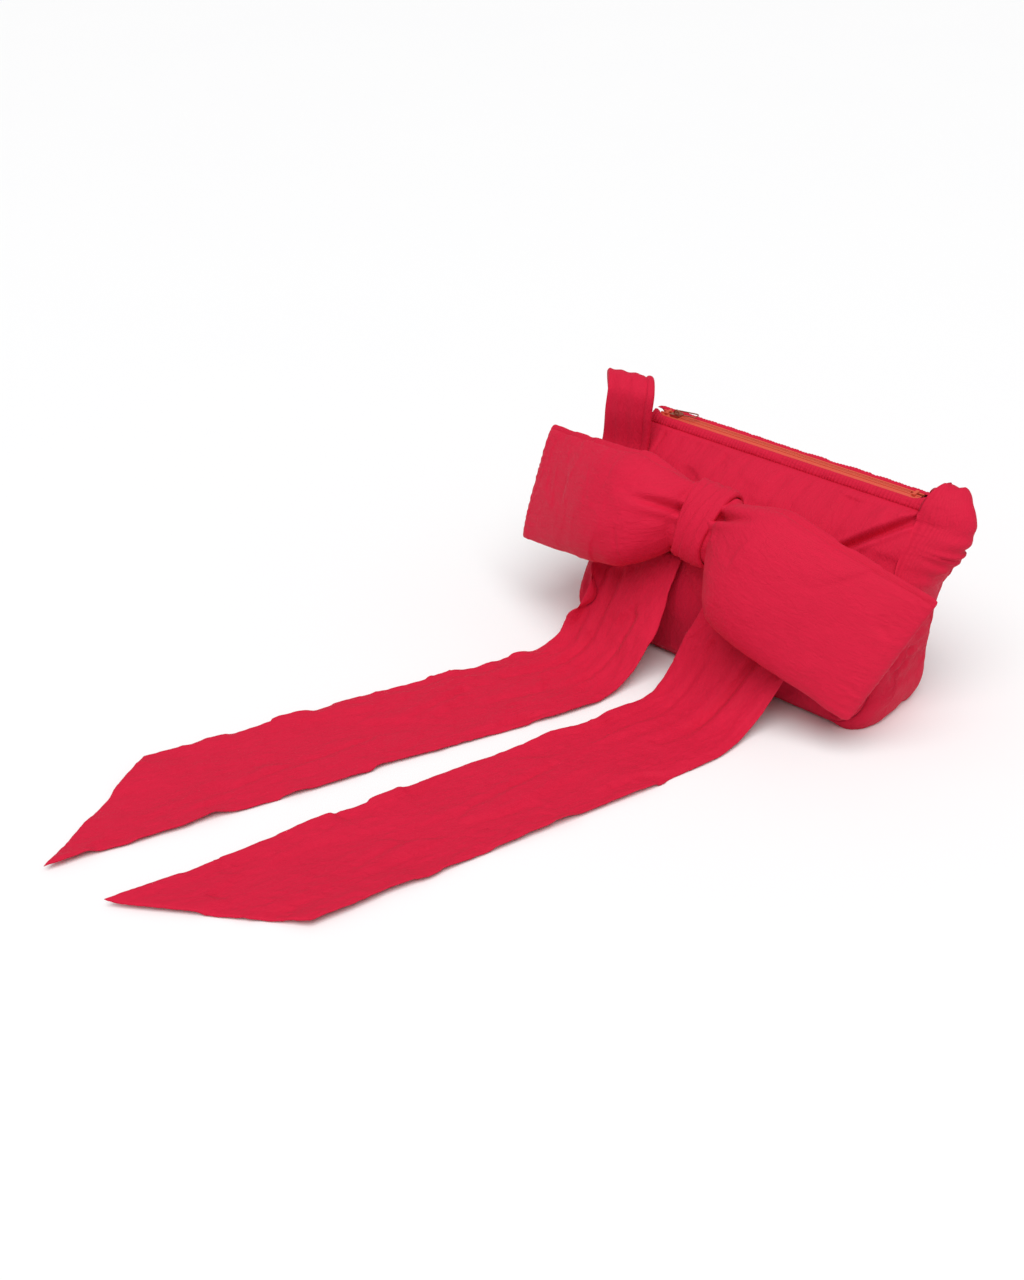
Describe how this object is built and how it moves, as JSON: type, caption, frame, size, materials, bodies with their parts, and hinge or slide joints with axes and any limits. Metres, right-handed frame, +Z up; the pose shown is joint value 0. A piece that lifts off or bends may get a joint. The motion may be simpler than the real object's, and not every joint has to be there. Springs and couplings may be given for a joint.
{
  "type": "padded zip-top shoulder bag with bow",
  "caption": "Soft padded shoulder bag lying slumped on the floor, with a top zip, a fabric strap and a large padded bow whose long sash tails run out in front.",
  "frame": {"origin": "on the floor under the middle of the bag's base gusset", "axes": "+Z up; the bow and front panel face -Y and the tails run out along -Y; +X runs along the zip from the closed slider to the bottom stop"},
  "size_m": [0.4377, 0.6927, 0.2064],
  "materials": {
    "cloth": "matte crinkled nylon, crimson",
    "lining_cloth": "plain woven lining, darker red",
    "zip_plastic": "moulded teeth and cloth tape, orange red",
    "zip_metal": "bright warm-toned metal",
    "label_cloth": "pale woven tape, blank"
  },
  "bodies": {
    "bag": {"front_panel": "cloth", "back_panel": "cloth", "side_gusset": "cloth", "lining": "lining_cloth", "shoulder_strap": "cloth", "zip_half_front": "zip_plastic", "zip_half_rear": "zip_plastic", "zip_stop_top_front": "zip_plastic", "zip_stop_top_rear": "zip_plastic", "zip_stop_bottom": "zip_plastic", "zip_welt_front": "cloth", "zip_welt_rear": "cloth", "bow_pad": "cloth", "bow_knot": "cloth", "tail_left": "cloth", "tail_right": "cloth", "side_label": "label_cloth"},
    "slider": {"zip_slider": "zip_metal"},
    "puller": {"zip_puller": "zip_metal"}
  },
  "joints": [
    {"name": "zip_slide", "type": "slide", "parent": "bag", "child": "slider", "axis": [1, 0, 0], "range_m": [0, 0.234]},
    {"name": "puller_hinge", "type": "hinge", "parent": "slider", "child": "puller", "pos_m": [-0.122, 0.05472, 0.17362], "axis": [0, -0.9962, -0.0872], "range_deg": [0, 170]}
  ]
}
